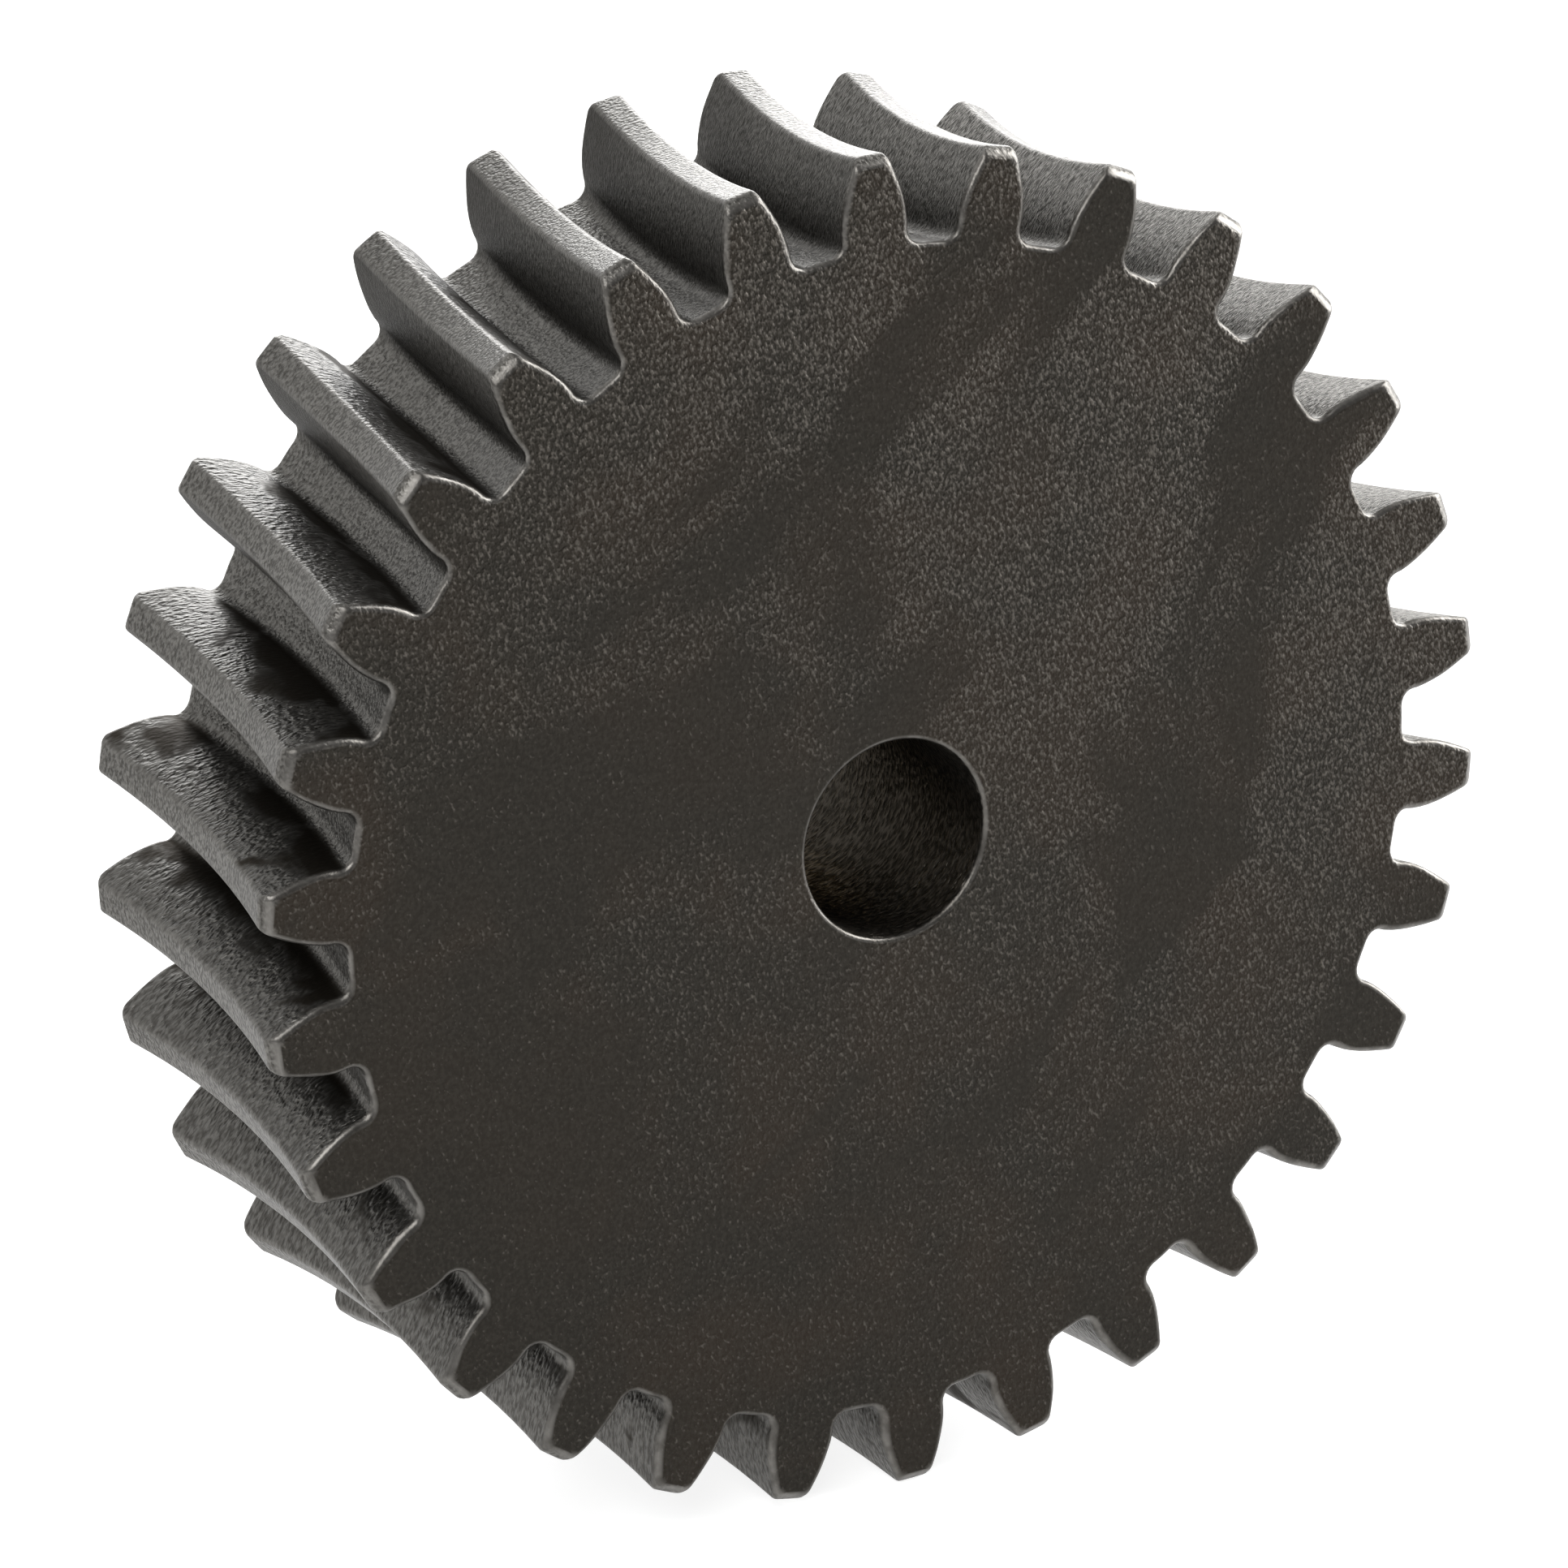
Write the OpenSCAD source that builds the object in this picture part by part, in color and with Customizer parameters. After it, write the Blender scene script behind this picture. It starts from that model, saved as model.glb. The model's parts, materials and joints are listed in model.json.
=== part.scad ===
// Throated worm wheel: a flat disc with helical teeth around a hollowed rim and a plain round bore.
// The wheel turns about +Y, +Z is up, and the origin is in the bore, half way between the two faces.
// One tooth is centred on +Z in the middle plane.

/* [Teeth] */
// Number of teeth
teeth = 30; // [26:1:36]
// Module, the pitch diameter divided by the number of teeth, mm
tooth_module = 2.5; // [2:0.25:3]
// Pressure angle of the involute flanks, degrees
pressure_angle = 17.75; // [16:0.25:20]
// Lead angle of the teeth on the pitch circle, right hand, degrees
lead_angle = 7.8; // [0:0.1:12]
// Tooth height from root to tip, in modules
tooth_height = 2.2; // [2.1:0.05:2.25]
// How much thinner each tooth is than half the pitch, for running clearance, mm
backlash = 0.2; // [0:0.05:0.3]
// Radius of the fillets at the bottom of each gap, mm
root_fillet = 0.85; // [0.4:0.05:0.9]

/* [Rim] */
// Width of the wheel between its two flat faces, mm
face_width = 22; // [16:1:26]
// Radius of the hollow that runs round the rim, mm
throat_radius = 55; // [45:1:90]
// Bevel on the outer corners of the teeth, mm
corner_bevel = 0.7; // [0.3:0.1:1]

/* [Bore] */
// Diameter of the bore, mm
bore_d = 12; // [8:0.5:20]
// Bevel at each end of the bore, mm
bore_bevel = 0.2; // [0.1:0.1:0.6]

/* [Hidden] */
$fn = 180;

pitch_r = teeth * tooth_module / 2;
tip_r = pitch_r + tooth_module;
root_r = tip_r - tooth_height * tooth_module;
base_r = pitch_r * cos(pressure_angle);
flank_start = max(base_r, root_r + root_fillet + 0.05);
pitch_angle = 360 / teeth;
half_width = face_width / 2;
edge_r = tip_r + rim_lift(half_width);
flank_top = tip_r + 0.3;
flank_steps = 5;
fillet_steps = 3;
stations = 8;
overrun = 0.6;

// How far the hollowed rim stands above its lowest circle, at a distance y from the middle plane
function rim_lift(y) = throat_radius - sqrt(throat_radius * throat_radius - y * y);

// How far the teeth have turned about the bore at a distance y from the middle plane, degrees
function lead_turn(y) = y * tan(lead_angle) / pitch_r * 180 / PI;

// Involute function, from degrees to degrees
function involute(angle) = tan(angle) * 180 / PI - angle;

// Half the angle that a tooth takes up at radius r
function half_tooth(r) = pitch_angle / 4 - backlash / (2 * pitch_r) * 180 / PI
    + involute(pressure_angle) - involute(acos(min(1, base_r / r)));

// Half the angle of a gap at radius r
function half_gap(r) = pitch_angle / 2 - half_tooth(r);

// The fillet at the bottom of a gap: its centre, and the angle from there to the radial wall it meets
fillet_r = root_r + root_fillet;
fillet_lean = asin(root_fillet / fillet_r);
fillet_turn = half_gap(flank_start) - fillet_lean;

// One wall of a gap from the root outwards, as [radius, angle]: fillet, involute flank, clearance
function fillet_point(t) = let (
    across = root_fillet * sin(t),
    out = fillet_r - root_fillet * cos(t)
) [norm([across, out]), fillet_turn + atan2(across, out)];

gap_wall = concat(
    [for (i = [0:fillet_steps]) fillet_point(i * (90 - fillet_lean) / fillet_steps)],
    [for (i = [0:flank_steps]) let (r = flank_start + i * (flank_top - flank_start) / flank_steps) [r, half_gap(r)]],
    [[tip_r + 2, half_gap(flank_top)]]
);
wall_points = len(gap_wall);
loop_points = 2 * wall_points;

// The whole outline of a gap: down one wall and up the other
gap_outline = concat(
    [for (i = [wall_points - 1:-1:0]) [gap_wall[i][0], -gap_wall[i][1]]],
    gap_wall
);

// A point of the outline, lifted by the hollowed rim and turned by the lead, at a distance y from the middle
function placed(point, y) = let (
    r = point[0] + rim_lift(y),
    turn = point[1] + lead_turn(y)
) [r * sin(turn), y, r * cos(turn)];

function station_y(s) = (half_width + overrun) * (2 * s / stations - 1);
function corner(s, i) = s * loop_points + i % loop_points;

// The solid that a cutter takes out between two teeth
module gap() {
    points = [for (s = [0:stations]) for (p = gap_outline) placed(p, station_y(s))];
    sides = [for (s = [0:stations - 1]) for (i = [0:loop_points - 1]) each [
        [corner(s, i), corner(s + 1, i + 1), corner(s + 1, i)],
        [corner(s, i), corner(s, i + 1), corner(s + 1, i + 1)]
    ]];
    ends = [for (i = [0:wall_points - 2]) let (j = loop_points - 1 - i) each [
        [corner(0, i), corner(0, j - 1), corner(0, i + 1)],
        [corner(0, i), corner(0, j), corner(0, j - 1)],
        [corner(stations, i), corner(stations, i + 1), corner(stations, j - 1)],
        [corner(stations, i), corner(stations, j - 1), corner(stations, j)]
    ]];
    polyhedron(points, concat(sides, ends));
}

// The turned disc with its bore and bevels, before the teeth are cut
module blank() {
    rotate([90, 0, 0]) difference() {
        rotate_extrude() polygon([
            [bore_d / 2, half_width - bore_bevel],
            [bore_d / 2, bore_bevel - half_width],
            [bore_d / 2 + bore_bevel, -half_width],
            [edge_r - corner_bevel, -half_width],
            [edge_r + 1, corner_bevel + 1 - half_width],
            [edge_r + 1, half_width - corner_bevel - 1],
            [edge_r - corner_bevel, half_width],
            [bore_d / 2 + bore_bevel, half_width]
        ]);
        rotate_extrude() translate([tip_r + throat_radius, 0]) circle(r = throat_radius);
    }
}

module worm_wheel() {
    color([0.23, 0.22, 0.2]) difference() {
        blank();
        for (k = [0:teeth - 1]) rotate([0, (k + 0.5) * pitch_angle, 0]) gap();
    }
}

worm_wheel();
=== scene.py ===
import json
import math

import bmesh
import bpy
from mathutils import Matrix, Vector, noise


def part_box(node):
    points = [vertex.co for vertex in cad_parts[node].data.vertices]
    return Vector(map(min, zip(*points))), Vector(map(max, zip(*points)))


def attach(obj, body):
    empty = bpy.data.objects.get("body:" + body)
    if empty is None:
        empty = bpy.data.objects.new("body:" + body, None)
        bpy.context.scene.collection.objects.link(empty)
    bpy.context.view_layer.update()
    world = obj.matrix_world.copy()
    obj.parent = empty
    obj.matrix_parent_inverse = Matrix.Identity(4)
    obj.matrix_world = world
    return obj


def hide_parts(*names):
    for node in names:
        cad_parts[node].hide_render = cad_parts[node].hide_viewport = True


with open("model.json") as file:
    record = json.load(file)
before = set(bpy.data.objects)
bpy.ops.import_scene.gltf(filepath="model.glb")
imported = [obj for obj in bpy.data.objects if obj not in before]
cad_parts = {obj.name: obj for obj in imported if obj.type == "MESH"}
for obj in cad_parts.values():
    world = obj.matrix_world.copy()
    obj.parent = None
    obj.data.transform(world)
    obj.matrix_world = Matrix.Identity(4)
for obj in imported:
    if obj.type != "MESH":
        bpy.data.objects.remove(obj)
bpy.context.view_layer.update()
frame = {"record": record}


# ---------------------------------------------------------------------------
# Sizes of the wheel, in metres and radians, named as in the CAD
# ---------------------------------------------------------------------------

MM = 0.001
TEETH = 30
MODULE = 2.5 * MM
TOOTH_HEIGHT = 2.2 * MODULE
PRESSURE_ANGLE = math.radians(17.75)
LEAD_ANGLE = math.radians(7.8)
BACKLASH = 0.2 * MM
ROOT_FILLET = 0.85 * MM
THROAT_RADIUS = 55 * MM
CORNER_BEVEL = 0.7 * MM

wheel_low, wheel_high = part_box("worm_wheel")
HALF_WIDTH = (wheel_high[1] - wheel_low[1]) / 2
bore_mount = [mount for mount in frame["record"]["mounts"] if mount["name"] == "bore"][0]
BORE_R = bore_mount["dims"]["r_mm"] * MM

PITCH_R = TEETH * MODULE / 2
TIP_R = PITCH_R + MODULE
ROOT_R = TIP_R - TOOTH_HEIGHT
BASE_R = PITCH_R * math.cos(PRESSURE_ANGLE)
PITCH_ANGLE = 2 * math.pi / TEETH
FILLET_R = ROOT_R + ROOT_FILLET
FILLET_LEAN = math.asin(ROOT_FILLET / FILLET_R)

# Softened edges, which the CAD leaves sharp or bevelled, and how unevenly they run
FACE_EDGE = 0.42 * MM
TIP_EDGE = 0.26 * MM
BEVEL_BLEND = 0.3 * MM
BORE_EDGE = 0.34 * MM
EDGE_UNEVENNESS = 0.3
EDGE_WAVE = 1.7 * MM

# Distance from a rounded edge to the loop beside it, which keeps the flat surface flat
SUPPORT = 0.16 * MM

# How far a tooth's end comes down for each unit that it is drawn in, beside the 45-degree bevel
BEVEL_DROP = 0.41

# How finely the outline of half a tooth is divided, from the middle of a gap to the middle of a tooth
ROOT_STEPS = 2
FILLET_STEPS = 5
FLANK_STEPS = 8
EDGE_STEPS = 4
LAND_STEPS = 2
FILLET_END = ROOT_STEPS + FILLET_STEPS
FLANK_END = FILLET_END + FLANK_STEPS
LAND_START = FLANK_END + EDGE_STEPS
HALF_STEPS = LAND_START + LAND_STEPS

# Loops across the width: around the rounded face edge, from there to the end of the bevel, and in between
EDGE_TURNS = [math.radians(a) for a in (0, 22.5, 45, 67.5, 90)]
BEVEL_END = 0.95 * MM
BEVEL_LOOPS = 6
BODY_STEPS = 13
BORE_STEPS = 8

# Rings of the flat faces: below the gaps' bottoms, then where the points thin out, then down to the bore
RIM_RING_DEPTH = 1.6 * MM
THIN_RING_DEPTH = 2.5 * MM
DISC_RINGS = [r * MM for r in (28, 23, 18, 13, 9)]

# How worn the tips and bevels of the teeth are, with a painted highlight, and how far up the flanks the
# painted shade reaches, as parts of 1
TIP_WEAR_AND_HIGHLIGHT = 0.3
BEVEL_WEAR_AND_HIGHLIGHT = 0.4
PAINTED_SHADE_REACH = 0.85
STREAKED_PAINTED_SHADE = 0.35


def rim_lift(y):
    """How far the hollowed rim stands above its lowest circle."""
    return THROAT_RADIUS - math.sqrt(THROAT_RADIUS ** 2 - y ** 2)


def lead_turn(y):
    """How far the teeth have turned about the bore."""
    return y * math.tan(LEAD_ANGLE) / PITCH_R


def placed(r, angle, y):
    """A point of the outline, lifted by the hollow rim and turned by the lead."""
    lifted = r + rim_lift(y)
    turn = angle + lead_turn(y)
    return Vector((lifted * math.sin(turn), y, lifted * math.cos(turn)))


def involute(angle):
    return math.tan(angle) - angle


def half_gap(r):
    """Half the angle of the gap between two teeth at radius r."""
    flank = involute(PRESSURE_ANGLE) - involute(math.acos(min(1.0, BASE_R / r)))
    half_tooth = PITCH_ANGLE / 4 - BACKLASH / (2 * PITCH_R) + flank
    return PITCH_ANGLE / 2 - half_tooth


FILLET_TURN = half_gap(BASE_R) - FILLET_LEAN


# ---------------------------------------------------------------------------
# The outline of the teeth
# ---------------------------------------------------------------------------

def land_height(y):
    """Radius of the top of a tooth before the rim lifts it: the hollow rim, blended softly into the bevel."""
    depth = HALF_WIDTH - abs(y)
    bevel = TIP_R + rim_lift(HALF_WIDTH) - CORNER_BEVEL + depth - rim_lift(y)
    blend = max(0.0, BEVEL_BLEND - abs(TIP_R - bevel)) ** 2 / (4 * BEVEL_BLEND)
    return min(TIP_R, bevel) - blend


def outline_point(step, inset, land):
    """A point of half a tooth, moved into the metal by inset, as (radius, angle from the gap's middle)."""
    if step < ROOT_STEPS:
        return ROOT_R - inset, FILLET_TURN * step / ROOT_STEPS
    if step <= FILLET_END:
        turn = (math.pi / 2 - FILLET_LEAN) * (step - ROOT_STEPS) / FILLET_STEPS
        across = (ROOT_FILLET + inset) * math.sin(turn)
        out = FILLET_R - (ROOT_FILLET + inset) * math.cos(turn)
        return math.hypot(across, out), FILLET_TURN + math.atan2(across, out)

    turned = inset / BASE_R
    flank_top = land - TIP_EDGE
    if step <= FLANK_END:
        r = BASE_R + (flank_top - BASE_R) * (step - FILLET_END - 1) / (FLANK_STEPS - 1)
        return r, half_gap(r) + turned
    corner_angle = half_gap(land) + turned
    land_angle = corner_angle + TIP_EDGE / land
    if step <= LAND_START:
        t = (step - FLANK_END) / EDGE_STEPS
        start, middle, end = (1 - t) ** 2, 2 * t * (1 - t), t ** 2
        r = start * flank_top + (middle + end) * land
        angle = start * (half_gap(flank_top) + turned) + middle * corner_angle + end * land_angle
        return r, angle
    return land, land_angle + (PITCH_ANGLE / 2 - land_angle) * (step - LAND_START) / LAND_STEPS


def outline_steps():
    """Every point once around the wheel, as (angle of the gap's middle, side of the gap, step)."""
    for tooth in range(TEETH):
        middle = (tooth + 0.5) * PITCH_ANGLE
        for step in range(HALF_STEPS):
            yield middle, 1, step
        for step in range(HALF_STEPS, 0, -1):
            yield middle + PITCH_ANGLE, -1, step


def edge_size(middle, side, step, face):
    """Size of the rounded edge of a face, a little uneven along the edge as on a cast part."""
    r, angle = outline_point(step, 0.0, land_height(HALF_WIDTH))
    place = placed(r, middle + side * angle, face * HALF_WIDTH)
    return FACE_EDGE * (1 + EDGE_UNEVENNESS * noise.noise(place / EDGE_WAVE))


# ---------------------------------------------------------------------------
# The mesh of the wheel
# ---------------------------------------------------------------------------

class Shell:
    """Points and faces, with the marks that the material reads at each point, from 0 to 1."""

    # Marks: wear with a painted highlight on edges, the teeth, painted shade low on the flanks and in the
    # bore, rough relief, streaks.
    MARKS = ("wear", "teeth", "shelter", "relief", "streaked")

    def __init__(self):
        self.points = []
        self.faces = []
        self.marks = {name: [] for name in self.MARKS}

    def add(self, point, **marks):
        self.points.append(point)
        for name in self.MARKS:
            self.marks[name].append(marks.get(name, 0.0))
        return len(self.points) - 1

    def bridge(self, first, second):
        """Quads between two closed loops with the same number of points."""
        count = len(first)
        for i in range(count):
            j = (i + 1) % count
            self.faces.append((first[i], first[j], second[j], second[i]))

    def narrow(self, outer, inner):
        """Faces between a closed loop and an inner one with a third of its points."""
        count = len(inner)
        for i in range(count):
            a, b, c, d = (outer[(3 * i + k) % len(outer)] for k in range(4))
            near, far = inner[i], inner[(i + 1) % count]
            self.faces.append((a, b, near))
            self.faces.append((b, c, far, near))
            self.faces.append((c, d, far))


def tip_wear_and_highlight(step):
    """Wear and a painted highlight along the edge between a flank and the top of a tooth."""
    if FLANK_END < step < LAND_START:
        return TIP_WEAR_AND_HIGHLIGHT
    return 0.0


def flank_painted_shade(side, step):
    """Painted shade on the lower part of a flank, where the metal is made smooth and dark."""
    if step <= ROOT_STEPS:
        return 0.0
    if step <= FILLET_END:
        height = (step - ROOT_STEPS) / FILLET_STEPS
    else:
        height = max(0.0, 1 - (step - FILLET_END) / (PAINTED_SHADE_REACH * FLANK_STEPS))
    return height if side < 0 else STREAKED_PAINTED_SHADE * height


def on_flank(step):
    """0 at the bottom of a gap and on top of a tooth, 1 on the flank between them."""
    if step <= FLANK_END:
        return min(1.0, max(0.0, (step - ROOT_STEPS) / FILLET_STEPS))
    return max(0.0, 1 - (step - FLANK_END) / EDGE_STEPS)


def flank_marks(side, step):
    """One flank of each tooth is rough as cast, and the other is finely streaked."""
    flank = on_flank(step)
    rough = flank if side < 0 else 0.0
    streaked = flank if side > 0 else 0.0
    # Painted shade low on the flank, with its relief and streaks.
    return {"relief": rough, "streaked": streaked, "shelter": flank_painted_shade(side, step)}


def edge_loops(shell, face):
    """Loops of the rounded edge between a face and the teeth, from the face inwards."""
    loops = []
    for turn in EDGE_TURNS:
        loop = []
        for middle, side, step in outline_steps():
            size = edge_size(middle, side, step, face)
            depth = size * (1 - math.cos(turn))
            inset = size * (1 - math.sin(turn))
            y = face * (HALF_WIDTH - depth)
            r, angle = outline_point(step, inset, land_height(y) - BEVEL_DROP * inset)
            # Wear and a painted highlight, strongest in the middle of the rounded edge.
            wear = max(math.sin(2 * turn), tip_wear_and_highlight(step))
            part = 1 - math.cos(turn)
            marks = {name: part * value for name, value in flank_marks(side, step).items()}
            point = placed(r, middle + side * angle, y)
            loop.append(shell.add(point, wear=wear, teeth=part, **marks))
        loops.append(loop)
    return loops


def skin_loop(shell, level):
    """One loop around the teeth, away from their edges; level gives y at each point of the outline."""
    loop = []
    for middle, side, step in outline_steps():
        y = level(middle, side, step)
        r, angle = outline_point(step, 0.0, land_height(y))
        # Wear and a painted highlight on the tips, and more on the bevels.
        wear = tip_wear_and_highlight(step)
        if HALF_WIDTH - abs(y) < CORNER_BEVEL and step > FLANK_END:
            wear = BEVEL_WEAR_AND_HIGHLIGHT
        point = placed(r, middle + side * angle, y)
        loop.append(shell.add(point, wear=wear, teeth=1.0, **flank_marks(side, step)))
    return loop


def bevel_loops(shell, face):
    """Loops from the rounded face edge to the end of the bevel, closer together near the edge."""
    loops = []
    for i in range(1, BEVEL_LOOPS + 1):
        def level(middle, side, step):
            size = edge_size(middle, side, step, face)
            depth = size + (BEVEL_END - size) * i / BEVEL_LOOPS
            return face * (HALF_WIDTH - depth)
        loops.append(skin_loop(shell, level))
    return loops


def body_loops(shell):
    """Evenly spread loops between the two bevels."""
    loops = []
    for i in range(1, BODY_STEPS):
        y = (HALF_WIDTH - BEVEL_END) * (2 * i / BODY_STEPS - 1)
        loops.append(skin_loop(shell, lambda *place: y))
    return loops


def circle_loop(shell, r, y, angles, **marks):
    return [shell.add(Vector((r * math.sin(a), y, r * math.cos(a))), **marks) for a in angles]


def tooth_faces(shell, loop, y):
    """Fills the flat end of each tooth with a grid, and gives back the loop left around the disc."""
    points = shell.points
    columns = 2 * LAND_STEPS
    rim = []
    for tooth in range(TEETH):
        start = tooth * 2 * HALF_STEPS
        rim.extend(loop[start:start + FILLET_END])
        left = [loop[start + step] for step in range(FILLET_END, LAND_START + 1)]
        end = start + 2 * HALF_STEPS
        right = [loop[(end - step) % len(loop)] for step in range(FILLET_END, LAND_START + 1)]
        top = loop[start + LAND_START:start + LAND_START + columns + 1]
        bulge = [points[i] - points[top[0]].lerp(points[top[-1]], c / columns) for c, i in enumerate(top)]
        base = points[left[0]].length
        rows = []
        for low, high in zip(left[:-1], right[:-1]):
            share = (points[low].length - base) / (points[top[0]].length - base)
            row = [low]
            for c in range(1, columns):
                row.append(shell.add(points[low].lerp(points[high], c / columns) + share * bulge[c]))
            row.append(high)
            rows.append(row)
        rows.append(top)
        for below, above in zip(rows[:-1], rows[1:]):
            for c in range(columns):
                shell.faces.append((below[c], below[c + 1], above[c + 1], above[c]))
        rim.extend(rows[0])
        rim.extend(loop[end - FILLET_END + 1:end])
    return rim


def face_disc(shell, edge_loop, face):
    """The flat face inside its rounded edge, down to the bore, and the loop where the bore starts."""
    y = face * HALF_WIDTH
    support = []
    for middle, side, step in outline_steps():
        inset = edge_size(middle, side, step, face) + SUPPORT
        r, angle = outline_point(step, inset, land_height(y) - BEVEL_DROP * inset - 0.5 * SUPPORT)
        support.append(shell.add(placed(r, middle + side * angle, y)))
    shell.bridge(edge_loop, support)
    rim = tooth_faces(shell, support, y)

    rim_angles = [math.atan2(shell.points[i].x, shell.points[i].z) for i in rim]
    start = rim_angles[0]
    spread = [(a - start) % (2 * math.pi) for a in rim_angles]
    even = [2 * math.pi * i / len(rim) for i in range(len(rim))]
    mixed = [start + 0.5 * (s + e) for s, e in zip(spread, even)]
    outer = circle_loop(shell, ROOT_R + rim_lift(HALF_WIDTH) - RIM_RING_DEPTH, y, mixed)
    shell.bridge(rim, outer)
    angles = [start + 2 * math.pi * i / (len(rim) // 3) for i in range(len(rim) // 3)]
    loop = circle_loop(shell, ROOT_R - THIN_RING_DEPTH, y, angles)
    shell.narrow(outer, loop)
    for r in DISC_RINGS + [BORE_R + BORE_EDGE + SUPPORT]:
        inner = circle_loop(shell, r, y, angles)
        shell.bridge(loop, inner)
        loop = inner
    return loop, angles


def bore_end(shell, loop, angles, face):
    """The rounded rim of the bore, from the face inwards."""
    for turn in EDGE_TURNS:
        r = BORE_R + BORE_EDGE * (1 - math.sin(turn))
        y = face * (HALF_WIDTH - BORE_EDGE * (1 - math.cos(turn)))
        # Wear with a painted highlight on the bore's rounded rim, and painted shade that grows into the bore.
        inner = circle_loop(shell, r, y, angles, wear=math.sin(2 * turn), shelter=1 - math.cos(turn))
        shell.bridge(loop, inner)
        loop = inner
    # Full painted shade from the rim's end into the bore.
    inner = circle_loop(shell, BORE_R, face * (HALF_WIDTH - BORE_EDGE - SUPPORT), angles, shelter=1.0)
    shell.bridge(loop, inner)
    return inner


def wheel_shell():
    """The whole wheel as one closed skin."""
    shell = Shell()
    front = edge_loops(shell, -1) + bevel_loops(shell, -1)
    back = edge_loops(shell, 1) + bevel_loops(shell, 1)
    loops = front + body_loops(shell) + list(reversed(back))
    for one, other in zip(loops[:-1], loops[1:]):
        shell.bridge(one, other)

    bore_ends = []
    for face, edge in ((-1, front[0]), (1, back[0])):
        loop, angles = face_disc(shell, edge, face)
        bore_ends.append((bore_end(shell, loop, angles, face), angles))
    (loop, near), (last, far) = bore_ends
    twist = far[0] - near[0]
    for i in range(1, BORE_STEPS):
        y = (HALF_WIDTH - BORE_EDGE - SUPPORT) * (2 * i / BORE_STEPS - 1)
        # Full painted shade along the bore.
        inner = circle_loop(shell, BORE_R, y, [a + twist * i / BORE_STEPS for a in near], shelter=1.0)
        shell.bridge(loop, inner)
        loop = inner
    shell.bridge(loop, last)
    return shell


def make_wheel():
    """The wheel as a Blender object, with its marks kept on the points."""
    shell = wheel_shell()
    mesh = bpy.data.meshes.new("wheel_skin")
    mesh.from_pydata(shell.points, [], shell.faces)
    for name, values in shell.marks.items():
        layer = mesh.attributes.new(name, "FLOAT", "POINT")
        layer.data.foreach_set("value", values)
    tool = bmesh.new()
    tool.from_mesh(mesh)
    bmesh.ops.recalc_face_normals(tool, faces=tool.faces)
    tool.to_mesh(mesh)
    tool.free()
    mesh.shade_smooth()
    wheel = bpy.data.objects.new("worm_wheel_skin", mesh)
    bpy.context.collection.objects.link(wheel)
    return wheel


# ---------------------------------------------------------------------------
# Materials
# ---------------------------------------------------------------------------

# Colours of the metal: the faces, the tops and flanks of the teeth, the bore, and worn edges; among them
# painted glints on the faces, painted light and shade on the streaked flanks, painted shade in the stains and
# the bore, and a painted highlight on the worn edges
SMOOTH_SKIN = (0.0235, 0.0215, 0.0182, 1)
BROWN_SKIN = (0.0285, 0.0235, 0.0188, 1)
SPECKLED_SKIN = (0.048, 0.044, 0.037, 1)
# Painted glints: light dots on the grain of the faces.
PAINTED_GLINT_DOTS = (0.088, 0.080, 0.070, 1)
CAST_HOLLOWS = (0.056, 0.053, 0.048, 1)
LAND_CRESTS = (0.140, 0.135, 0.125, 1)
ROUGH_CRESTS = (0.114, 0.110, 0.102, 1)
STREAK_HOLLOWS = (0.036, 0.034, 0.030, 1)
STREAK_CRESTS = (0.122, 0.117, 0.108, 1)
# Painted shade: streak crests darker towards the back of the wheel.
REAR_SHADED_STREAK_CRESTS = (0.060, 0.057, 0.053, 1)
# Painted light: streak crests lighter towards the right of the wheel.
RIGHT_LIT_STREAK_CRESTS = (0.270, 0.262, 0.246, 1)
# Dark patches: stains, with painted shade low on the rough flanks.
STAIN_AND_SHADE = (0.028, 0.024, 0.019, 1)
# Darker metal in the bore: painted shade.
BORE_SHADE_HOLLOWS = (0.036, 0.033, 0.028, 1)
BORE_SHADE_CRESTS = (0.070, 0.063, 0.054, 1)
# Lighter metal along the edges: wear and a painted highlight.
WORN_AND_HIGHLIT_METAL = (0.26, 0.25, 0.235, 1)
WHITE = (1, 1, 1, 1)
BLACK = (0, 0, 0, 1)

# Directions, about the wheel's axis, of the grains on the faces and of the smooth bands across them
PEEL_TURN = math.radians(25)
BAND_TURN = math.radians(40)

# How high the grain of a surface stands for a strength of 1
GRAIN_HEIGHT = 0.09 * MM


def new_material(name):
    """A material that holds only a Principled shader wired to the output."""
    material = bpy.data.materials.new(name)
    material.use_nodes = True
    tree = material.node_tree
    tree.nodes.clear()
    shader = tree.nodes.new("ShaderNodeBsdfPrincipled")
    output = tree.nodes.new("ShaderNodeOutputMaterial")
    tree.links.new(shader.outputs["BSDF"], output.inputs["Surface"])
    return material, tree, shader


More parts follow.
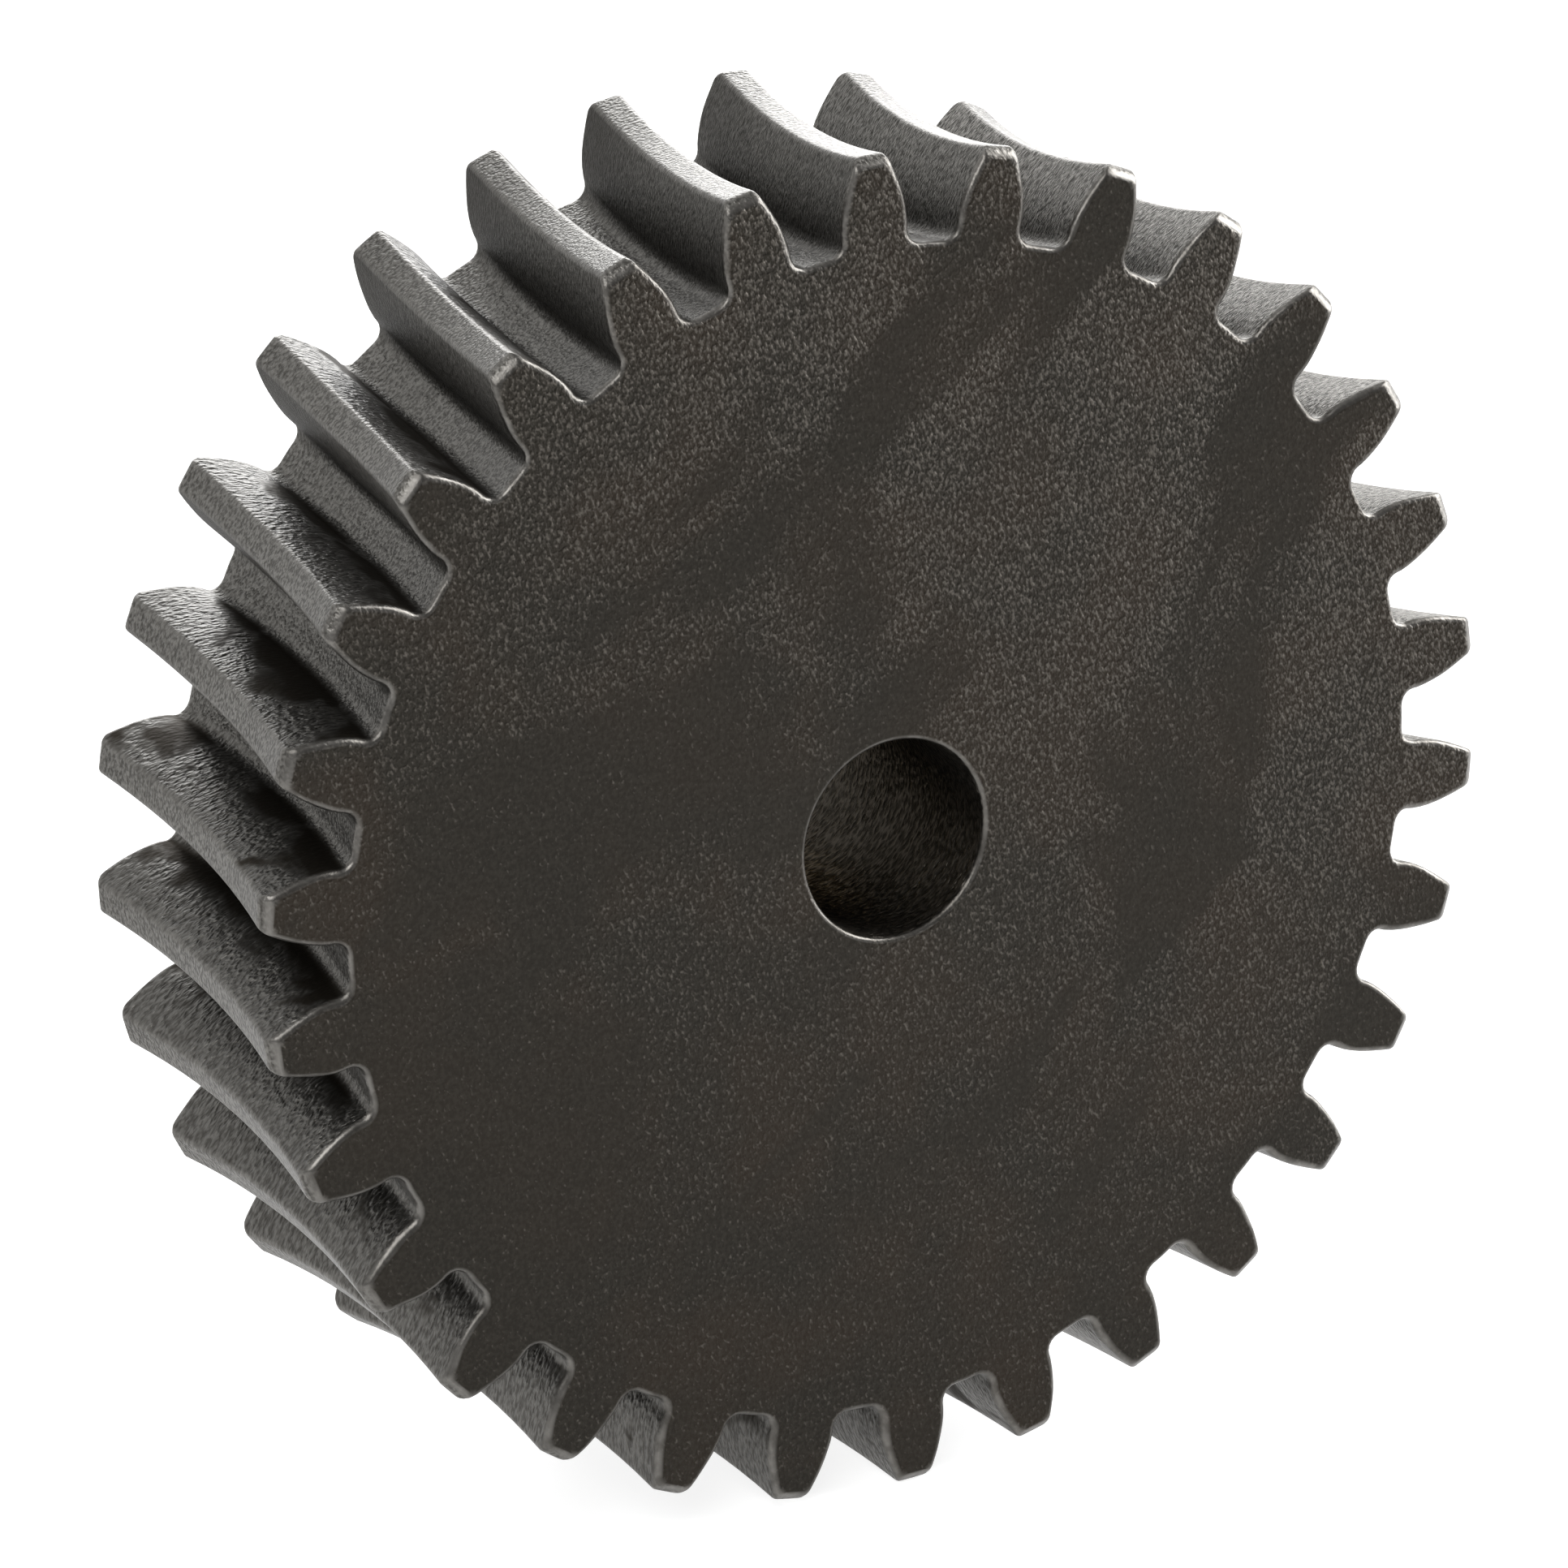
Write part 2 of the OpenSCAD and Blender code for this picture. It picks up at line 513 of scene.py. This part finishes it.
class Nodes:
    """Adds nodes to one node tree, and gives back their outputs."""

    def __init__(self, tree):
        self.tree = tree

    def add(self, kind, output, inputs, **settings):
        """A node whose inputs are sockets to link or plain values, keyed by name or number."""
        made = self.tree.nodes.new(kind)
        for name, value in settings.items():
            setattr(made, name, value)
        for key, value in inputs.items():
            if isinstance(value, bpy.types.NodeSocket):
                self.tree.links.new(value, made.inputs[key])
            else:
                made.inputs[key].default_value = value
        return made.outputs[output]

    def mark(self, name):
        """One of the marks kept on the points of the mesh."""
        return self.add("ShaderNodeAttribute", "Fac", {}, attribute_name=name)

    def part(self, vector, axis):
        return self.add("ShaderNodeSeparateXYZ", axis, {"Vector": vector})

    def along(self, vector, direction):
        return self.add("ShaderNodeVectorMath", "Value", {0: vector, 1: direction}, operation="DOT_PRODUCT")

    def scaled(self, vector, factors):
        return self.add("ShaderNodeVectorMath", "Vector", {0: vector, 1: factors}, operation="MULTIPLY")

    def moved(self, vector, step):
        return self.add("ShaderNodeVectorMath", "Vector", {0: vector, 1: step}, operation="ADD")

    def turned(self, vector, angle):
        """Coordinates turned about the wheel's axis."""
        inputs = {"Vector": vector, "Angle": angle}
        return self.add("ShaderNodeVectorRotate", "Vector", inputs, rotation_type="Y_AXIS")

    def plus(self, first, second):
        return self.add("ShaderNodeMath", "Value", {0: first, 1: second}, operation="ADD")

    def minus(self, first, second):
        return self.add("ShaderNodeMath", "Value", {0: first, 1: second}, operation="SUBTRACT")

    def times(self, first, second):
        return self.add("ShaderNodeMath", "Value", {0: first, 1: second}, operation="MULTIPLY")

    def larger(self, first, second):
        return self.add("ShaderNodeMath", "Value", {0: first, 1: second}, operation="MAXIMUM")

    def grain(self, place, size, detail, distortion=0.0):
        """Noise from 0 to 1 with lumps of about the given size, in the units of place."""
        inputs = {"Vector": place, "Scale": 1 / size, "Detail": detail, "Distortion": distortion}
        return self.add("ShaderNodeTexNoise", "Fac", inputs)

    def fade(self, value, low, high, at_low=0.0, at_high=1.0):
        """Goes smoothly from at_low to at_high as value goes from low to high."""
        inputs = {"Value": value, "From Min": low, "From Max": high, "To Min": at_low, "To Max": at_high}
        return self.add("ShaderNodeMapRange", "Result", inputs, interpolation_type="SMOOTHSTEP")

    def blend(self, factor, first, second):
        """Mixes two numbers."""
        inputs = {"Factor": factor, "A": first, "B": second}
        return self.add("ShaderNodeMix", "Result", inputs, data_type="FLOAT")

    def blend_color(self, factor, first, second):
        """Mixes two colours, which the node keeps in its inputs 6 and 7."""
        return self.add("ShaderNodeMix", 2, {0: factor, 6: first, 7: second}, data_type="RGBA")


class Metal:
    """Marks, grains and zones of the wheel's metal and of the light and shade painted on it, which its
    colour, gloss and relief all read.
    """

    def __init__(self, nodes):
        metres = nodes.add("ShaderNodeTexCoord", "Object", {})
        place = nodes.scaled(metres, (1 / MM, 1 / MM, 1 / MM))
        self.read_marks(nodes)
        self.make_grains(nodes, place)
        self.make_zones(nodes, place)

    def read_marks(self, nodes):
        self.wear = nodes.mark("wear")
        self.teeth = nodes.mark("teeth")
        self.shelter = nodes.mark("shelter")
        self.relief = nodes.mark("relief")
        self.streaked = nodes.mark("streaked")
        # The bore, marked by full painted shade away from the teeth.
        self.in_bore = nodes.times(self.shelter, nodes.minus(1.0, self.teeth))

    def make_grains(self, nodes, place):
        """Noises with lumps from a quarter of a millimetre to two centimetres; place is in millimetres."""
        slanted = nodes.scaled(nodes.turned(place, PEEL_TURN), (1.2, 1.2, 0.85))
        banded = nodes.scaled(nodes.turned(place, BAND_TURN), (0.6, 1.0, 1.2))
        shifted = nodes.moved(place, (17, 5, 63))
        self.peel = nodes.grain(slanted, 0.25, detail=1.0)
        self.pits = nodes.grain(nodes.scaled(place, (1, 1.2, 1)), 0.26, detail=1.5)
        self.streaks = nodes.grain(nodes.scaled(place, (1, 3.6, 1)), 0.36, detail=2.0)
        self.lumps = nodes.grain(nodes.scaled(place, (1, 2.0, 1)), 0.50, detail=1.5)
        self.clumps = nodes.grain(place, 1.4, detail=2.0)
        self.patches = nodes.grain(nodes.scaled(shifted, (1, 0.8, 1)), 4.5, detail=3.0, distortion=0.6)
        self.tint = nodes.grain(place, 9.0, detail=3.0)
        self.bands = nodes.grain(banded, 19.0, detail=4.0, distortion=0.8)

    def make_zones(self, nodes, place):
        """Where the skin is grainy, stained or worn, where light and shade are painted on it, and how the
        teeth change around the wheel.
        """
        self.rear = nodes.fade(nodes.part(place, "Y"), 0.0, 10.0)
        self.upper = nodes.fade(nodes.part(place, "Z"), -28.0, 6.0)
        self.rightward = nodes.fade(nodes.part(place, "X"), -8.0, 22.0)

        self.grainy = nodes.fade(self.bands, 0.41, 0.50)
        # Painted glints and face grain both grow denser towards the top.
        towards_top = nodes.fade(nodes.along(place, (0.5, 0.0, 0.8)), -36.0, 28.0, 0.25, 1.0)
        self.grain_and_glint_density = nodes.times(towards_top, nodes.blend(self.grainy, 0.1, 1.0))

        land_grain = nodes.blend(self.rear, self.peel, self.pits)
        cast_grain = nodes.blend(self.relief, land_grain, self.lumps)
        self.tooth_grain = nodes.blend(self.streaked, cast_grain, self.streaks)

        on_rough = nodes.fade(self.relief, 0.3, 0.9)
        # Dark patches: stains at random, plus painted shade low on the rough flanks, more of it on the upper
        # part of the wheel.
        stain_and_shade_level = nodes.plus(self.patches, nodes.times(self.shelter, nodes.blend(self.upper, 0.06, 0.30)))
        self.stains_and_shade = nodes.times(nodes.fade(stain_and_shade_level, 0.61, 0.73), on_rough)
        self.smoothed = nodes.times(nodes.fade(stain_and_shade_level, 0.55, 0.69), on_rough)
        # Wear and a painted highlight along the edges, in clumps.
        self.worn_and_highlit = nodes.times(self.wear, nodes.fade(self.clumps, 0.35, 0.62, 0.5, 1.0))


def face_color(nodes, metal):
    """Dark skin, browner where it is grainy, with painted glints as light dots that are closer together
    towards the top.
    """
    brown = nodes.times(nodes.fade(metal.tint, 0.35, 0.65), nodes.blend(metal.grainy, 0.4, 1.0))
    skin = nodes.blend_color(brown, SMOOTH_SKIN, BROWN_SKIN)
    skin = nodes.blend_color(nodes.fade(metal.pits, 0.35, 0.70, 0.0, 0.3), skin, SPECKLED_SKIN)
    # Painted glints.
    painted_glints = nodes.fade(nodes.plus(metal.peel, nodes.times(metal.grain_and_glint_density, 0.18)), 0.61, 0.93)
    return nodes.blend_color(painted_glints, skin, PAINTED_GLINT_DOTS)


def tooth_color(nodes, metal):
    """Grain between dark hollows and light crests, with painted shade towards the back and painted light
    towards the right on the streaked flanks, under dark stains and painted shade mostly low on the rough
    flanks.
    """
    hollows = nodes.blend_color(metal.streaked, CAST_HOLLOWS, STREAK_HOLLOWS)
    # Painted shade towards the back and painted light towards the right.
    lit_and_shaded_streak_crests = nodes.blend_color(metal.rear, STREAK_CRESTS, REAR_SHADED_STREAK_CRESTS)
    lit_and_shaded_streak_crests = nodes.blend_color(metal.rightward, lit_and_shaded_streak_crests, RIGHT_LIT_STREAK_CRESTS)
    crests = nodes.blend_color(metal.relief, LAND_CRESTS, ROUGH_CRESTS)
    crests = nodes.blend_color(metal.streaked, crests, lit_and_shaded_streak_crests)
    color = nodes.blend_color(nodes.fade(metal.tooth_grain, 0.34, 0.66), hollows, crests)
    # Stains and painted shade.
    return nodes.blend_color(metal.stains_and_shade, color, STAIN_AND_SHADE)


def metal_color(nodes, metal):
    """The faces, the teeth and the bore, with lighter metal along the edges for wear and a painted highlight,
    and painted shade in the bore.
    """
    color = nodes.blend_color(metal.teeth, face_color(nodes, metal), tooth_color(nodes, metal))
    # Wear and a painted highlight along the edges.
    color = nodes.blend_color(nodes.times(metal.worn_and_highlit, 0.5), color, WORN_AND_HIGHLIT_METAL)
    # Painted shade in the bore.
    shaded_bore_color = nodes.blend_color(nodes.fade(metal.lumps, 0.38, 0.62), BORE_SHADE_HOLLOWS, BORE_SHADE_CRESTS)
    return nodes.blend_color(metal.in_bore, color, shaded_bore_color)


def glancing_tint(nodes, metal):
    """Weakens the shine at a glancing angle on the stains and their painted shade, on the streaked flanks,
    and in the bore as painted shade.
    """
    # Painted shade: the glancing shine is dulled in the bore and on the stains with their painted shade.
    dulled_and_shaded = nodes.larger(nodes.times(metal.stains_and_shade, 0.35), nodes.times(metal.in_bore, 0.7))
    dulled_and_shaded = nodes.larger(dulled_and_shaded, nodes.times(metal.streaked, 0.3))
    return nodes.blend_color(dulled_and_shaded, WHITE, BLACK)


def metal_roughness(nodes, metal):
    """Duller on the stains and painted shade of the rough flanks and on streaked flanks, and polished along
    worn, highlit edges.
    """
    tooth_rough = nodes.blend(nodes.larger(metal.stains_and_shade, metal.streaked), 0.44, 0.52)
    rough = nodes.blend(metal.teeth, 0.46, tooth_rough)
    return nodes.blend(metal.worn_and_highlit, rough, 0.34)


def relief_strength(nodes, metal):
    """How strongly the grain stands out: most on the rough flanks, least on smooth bands and on the worn
    edges with their painted highlight.
    """
    face = nodes.blend(metal.grain_and_glint_density, 0.3, 1.5)
    bore = nodes.fade(metal.patches, 0.42, 0.56, 1.2, 2.4)
    face = nodes.blend(metal.in_bore, face, bore)
    land = nodes.blend(metal.rear, 0.8, 2.0)
    rough = nodes.times(nodes.fade(metal.clumps, 0.3, 0.7, 2.2, 3.6), nodes.blend(metal.upper, 0.6, 1.0))
    streaked = nodes.blend(metal.rightward, 1.5, 2.4)
    tooth = nodes.blend(metal.streaked, nodes.blend(metal.relief, land, rough), streaked)
    tooth = nodes.blend(metal.smoothed, tooth, 0.45)
    strength = nodes.blend(metal.teeth, face, tooth)
    return nodes.times(strength, nodes.blend(metal.wear, 1.0, 0.12))


def grain_normal(nodes, metal):
    """The grain as bump. Heights are taken about their middle, so that a change of strength makes no step."""
    face_grain = nodes.blend(metal.in_bore, metal.peel, metal.lumps)
    mixed = nodes.blend(metal.teeth, face_grain, metal.tooth_grain)
    height = nodes.times(nodes.minus(mixed, 0.5), relief_strength(nodes, metal))
    inputs = {"Height": height, "Strength": 1.0, "Distance": GRAIN_HEIGHT}
    return nodes.add("ShaderNodeBump", "Normal", inputs)


def dark_metal():
    """Dark cast iron: painted glints as light dots on the faces, rough or streaked flanks with dark stains
    and painted light and shade, edges lit by wear and a painted highlight, and painted shade in the bore.
    """
    material, tree, shader = new_material("dark_cast_metal")
    nodes = Nodes(tree)
    metal = Metal(nodes)
    shader.inputs["Metallic"].default_value = 1.0
    tree.links.new(metal_color(nodes, metal), shader.inputs["Base Color"])
    tree.links.new(glancing_tint(nodes, metal), shader.inputs["Specular Tint"])
    tree.links.new(metal_roughness(nodes, metal), shader.inputs["Roughness"])
    tree.links.new(grain_normal(nodes, metal), shader.inputs["Normal"])
    return material


def floor_paint():
    """Pale paint that glows a little, so that the floor comes out almost white."""
    material, tree, shader = new_material("pale_floor")
    shader.inputs["Base Color"].default_value = (0.35, 0.35, 0.35, 1)
    shader.inputs["Emission Color"].default_value = WHITE
    shader.inputs["Emission Strength"].default_value = 0.85
    shader.inputs["Roughness"].default_value = 0.9
    shader.inputs["Specular IOR Level"].default_value = 0.1
    return material


# ---------------------------------------------------------------------------
# Stage, light and camera
# ---------------------------------------------------------------------------

def make_floor():
    """A wide pale floor that the wheel stands on."""
    reach = 3.0
    mesh = bpy.data.meshes.new("floor")
    z = wheel_low[2]
    corners = [(-reach, -reach, z), (reach, -reach, z), (reach, reach, z), (-reach, reach, z)]
    mesh.from_pydata(corners, [], [(0, 1, 2, 3)])
    mesh.materials.append(floor_paint())
    floor = bpy.data.objects.new("floor", mesh)
    bpy.context.collection.objects.link(floor)


def face_wheel(thing):
    """Turns a light or camera towards the middle of the bore."""
    thing.rotation_euler = (-thing.location).to_track_quat("-Z", "Y").to_euler()


def softbox(name, place, width, height, power):
    """A soft rectangular light that faces the wheel."""
    light = bpy.data.lights.new(name, "AREA")
    light.shape = "RECTANGLE"
    light.size = width
    light.size_y = height
    light.energy = power
    lamp = bpy.data.objects.new(name, light)
    lamp.location = place
    bpy.context.collection.objects.link(lamp)
    face_wheel(lamp)


def make_sky():
    """A white studio that is bright behind the wheel and dim in front of it."""
    world = bpy.data.worlds.new("studio")
    world.use_nodes = True
    nodes = Nodes(world.node_tree)
    background = world.node_tree.nodes["Background"]
    background.inputs["Color"].default_value = WHITE
    backwards = nodes.part(nodes.add("ShaderNodeTexCoord", "Generated", {}), "Y")
    strength = nodes.fade(backwards, -0.5, 0.6, 0.12, 1.35)
    world.node_tree.links.new(strength, background.inputs["Strength"])
    bpy.context.scene.world = world


def make_lights():
    make_sky()
    softbox("right_box", (0.8, -0.1, 0.3), 0.5, 0.7, 12.0)
    softbox("upper_box", (0.65, -0.2, 0.6), 0.5, 0.4, 2.0)
    softbox("left_box", (-0.5, -0.5, 0.65), 0.6, 0.6, 6.0)
    softbox("far_box", (0.6, 0.95, 0.42), 0.8, 0.5, 9.5)


def make_camera():
    """Looks at the bore from the front left and a little above."""
    turn = math.radians(30.28)
    rise = math.radians(19.09)
    distance = 0.4772
    data = bpy.data.cameras.new("camera")
    data.sensor_width = 36
    data.lens = 185.6
    data.shift_x = -0.0103
    data.shift_y = 0.0013
    camera = bpy.data.objects.new("camera", data)
    camera.location = (
        -distance * math.sin(turn) * math.cos(rise),
        -distance * math.cos(turn) * math.cos(rise),
        distance * math.sin(rise),
    )
    bpy.context.collection.objects.link(camera)
    face_wheel(camera)
    bpy.context.scene.camera = camera


make_camera()
wheel = make_wheel()
wheel.data.materials.append(dark_metal())
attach(wheel, "root")
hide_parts("worm_wheel")
make_floor()
make_lights()
bpy.context.scene.view_settings.view_transform = "Standard"
